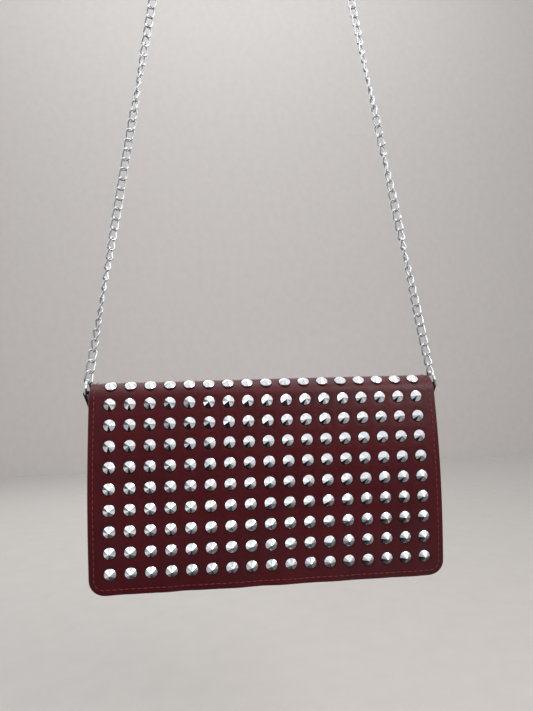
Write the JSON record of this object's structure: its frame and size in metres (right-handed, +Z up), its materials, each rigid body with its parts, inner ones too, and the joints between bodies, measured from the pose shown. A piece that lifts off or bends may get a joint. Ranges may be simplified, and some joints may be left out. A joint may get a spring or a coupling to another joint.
{
  "type": "chain wallet",
  "caption": "Small leather clutch wallet with a full-front studded flap, zipped divider pocket, card slots and a twisted curb-chain strap on side D-rings.",
  "frame": {"origin": "centre of the peg that the strap hangs over", "axes": "+Z up along the hanging strap; the studded flap faces -Y; +X to the right as seen from the flap's side"},
  "size_m": [0.221, 0.0321, 0.6462],
  "materials": {
    "burgundy_leather": "smooth fine-grained semi-gloss burgundy leather",
    "pocket_leather": "thin matt burgundy split leather",
    "lining_fabric": "black twill lining",
    "stud_metal": "bright nickel-plated pressed alloy",
    "chain_chrome": "polished nickel-plated steel",
    "zip_metal": "plated, polished",
    "zip_tape": "woven black tape",
    "snap_metal": "plated steel"
  },
  "bodies": {
    "strap_crown": {"chain_crown": "chain_chrome"},
    "strap_upper": {"chain_left_upper": "chain_chrome", "chain_right_upper": "chain_chrome"},
    "strap_lower": {"chain_left_lower": "chain_chrome", "chain_right_lower": "chain_chrome"},
    "wallet": {"spine_leather": "burgundy_leather", "spine_lining": "lining_fabric", "spine_stud_washers": "stud_metal", "studs_row_0": "stud_metal", "back_panel": "burgundy_leather", "back_lining": "lining_fabric", "base_panel": "burgundy_leather", "gusset_left": "burgundy_leather", "gusset_right": "burgundy_leather", "card_slot_top": "pocket_leather", "card_slot_middle": "pocket_leather", "card_slot_low": "pocket_leather", "pocket_wall_front": "pocket_leather", "pocket_wall_rear": "pocket_leather", "pocket_floor": "pocket_leather", "pocket_end_tabs": "pocket_leather", "zip_tape_front": "zip_tape", "zip_tape_rear": "zip_tape", "zip_teeth": "zip_metal", "zip_stops": "zip_metal", "ring_tab_left": "burgundy_leather", "ring_tab_right": "burgundy_leather", "tab_rivets": "chain_chrome"},
    "flap": {"flap_leather": "burgundy_leather", "flap_stiffener": "lining_fabric", "flap_lining": "lining_fabric", "flap_stud_washers": "stud_metal", "snap_disc": "snap_metal", "studs_row_1": "stud_metal", "studs_row_2": "stud_metal", "studs_row_3": "stud_metal", "studs_row_4": "stud_metal", "studs_row_5": "stud_metal", "studs_row_6": "stud_metal", "studs_row_7": "stud_metal", "studs_row_8": "stud_metal", "studs_row_9": "stud_metal"},
    "front_panel": {"front_panel": "burgundy_leather", "front_lining": "lining_fabric", "snap_socket": "snap_metal"},
    "d_ring_left": {"d_ring_left": "chain_chrome"},
    "d_ring_right": {"d_ring_right": "chain_chrome"},
    "zip_slider": {"zip_slider": "zip_metal"},
    "zip_pull": {"zip_pull": "zip_metal"}
  },
  "joints": [
    {"name": "strap_upper_swing", "type": "hinge", "parent": "strap_crown", "child": "strap_upper", "pos_m": [0, 0, -0.00096], "axis": [1, 0, 0], "range_deg": [-12, 12]},
    {"name": "strap_lower_swing", "type": "hinge", "parent": "strap_upper", "child": "strap_lower", "pos_m": [0, 0, -0.24282], "axis": [1, 0, 0], "range_deg": [-12, 12]},
    {"name": "wallet_swing", "type": "hinge", "parent": "strap_lower", "child": "wallet", "pos_m": [0, 0, -0.50199], "axis": [1, 0, 0], "range_deg": [-35, 30]},
    {"name": "flap_open", "type": "hinge", "parent": "wallet", "child": "flap", "pos_m": [0, -0.01065, -0.50528], "axis": [-1, 0, 0], "range_deg": [0, 125]},
    {"name": "front_panel_open", "type": "hinge", "parent": "wallet", "child": "front_panel", "pos_m": [0, -0.0068, -0.61674], "axis": [1, 0, 0], "range_deg": [0, 8.01], "deforming": ["gusset_left", "gusset_right"]},
    {"name": "ring_left_tilt", "type": "hinge", "parent": "wallet", "child": "d_ring_left", "pos_m": [-0.108, 0, -0.50449], "axis": [0, 1, 0], "range_deg": [-1, 3]},
    {"name": "ring_right_tilt", "type": "hinge", "parent": "wallet", "child": "d_ring_right", "pos_m": [0.108, 0, -0.50449], "axis": [0, 1, 0], "range_deg": [-3, 1]},
    {"name": "zip_slide", "type": "slide", "parent": "wallet", "child": "zip_slider", "axis": [-1, 0, 0], "range_m": [0, 0.168]},
    {"name": "zip_pull_flip", "type": "hinge", "parent": "zip_slider", "child": "zip_pull", "pos_m": [0.084, 0.0025, -0.51869], "axis": [0, 1, 0], "range_deg": [0, 170]}
  ],
  "couplings": [
    {"joint": "front_panel_open", "follows": "flap_open", "ratio": 0.064}
  ]
}
